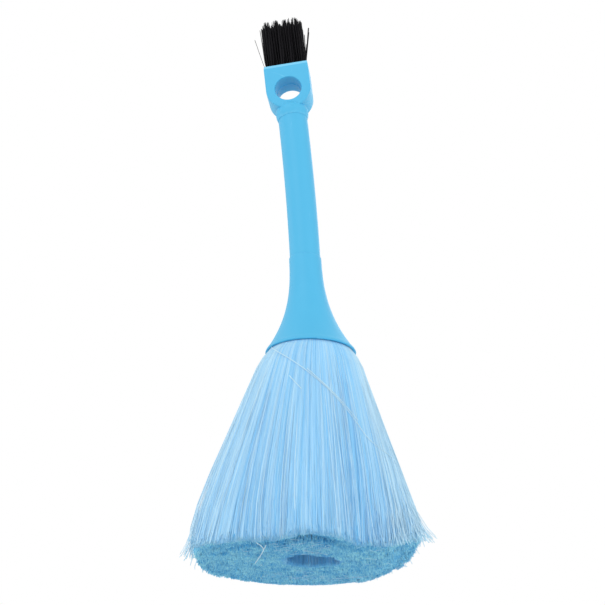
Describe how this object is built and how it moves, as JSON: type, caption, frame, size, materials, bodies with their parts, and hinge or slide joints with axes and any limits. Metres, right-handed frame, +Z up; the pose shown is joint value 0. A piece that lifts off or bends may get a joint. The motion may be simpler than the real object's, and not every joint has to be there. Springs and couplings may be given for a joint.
{
  "type": "mini duster",
  "caption": "Small hand duster: tube handle, flared bell with a soft bristle skirt below, and a flat head above with a hanging hole and short black tufts.",
  "frame": {"origin": "centre of the skirt's cut foot, on the surface that the duster stands on", "axes": "+Z up, along the duster; +X to the right and -Y towards the viewer as the head's hanging hole is seen; the handle leans and bows gently towards -X"},
  "size_m": [0.0882, 0.0882, 0.2272],
  "materials": {
    "blue_plastic": "moulded polypropylene, soft sheen",
    "blue_bristle": "fine extruded filament, flagged at the cut ends",
    "black_bristle": "black nylon filament",
    "anchor_wire": "flat drawn wire",
    "hot_melt": "set hot-melt glue"
  },
  "bodies": {
    "root": {"bell": "blue_plastic", "handle_tube": "blue_plastic", "head_block": "blue_plastic", "glue_core": "hot_melt", "skirt_hank_01": "blue_bristle", "skirt_hank_02": "blue_bristle", "skirt_hank_03": "blue_bristle", "skirt_hank_04": "blue_bristle", "skirt_hank_05": "blue_bristle", "skirt_hank_06": "blue_bristle", "skirt_hank_07": "blue_bristle", "skirt_hank_08": "blue_bristle", "skirt_hank_09": "blue_bristle", "skirt_hank_10": "blue_bristle", "skirt_hank_11": "blue_bristle", "skirt_hank_12": "blue_bristle", "tuft_01": "black_bristle", "tuft_02": "black_bristle", "tuft_03": "black_bristle", "tuft_04": "black_bristle", "tuft_05": "black_bristle", "tuft_06": "black_bristle", "tuft_07": "black_bristle", "tuft_08": "black_bristle", "tuft_anchor_01": "anchor_wire", "tuft_anchor_02": "anchor_wire", "tuft_anchor_03": "anchor_wire", "tuft_anchor_04": "anchor_wire", "tuft_anchor_05": "anchor_wire", "tuft_anchor_06": "anchor_wire", "tuft_anchor_07": "anchor_wire", "tuft_anchor_08": "anchor_wire"}
  },
  "joints": []
}
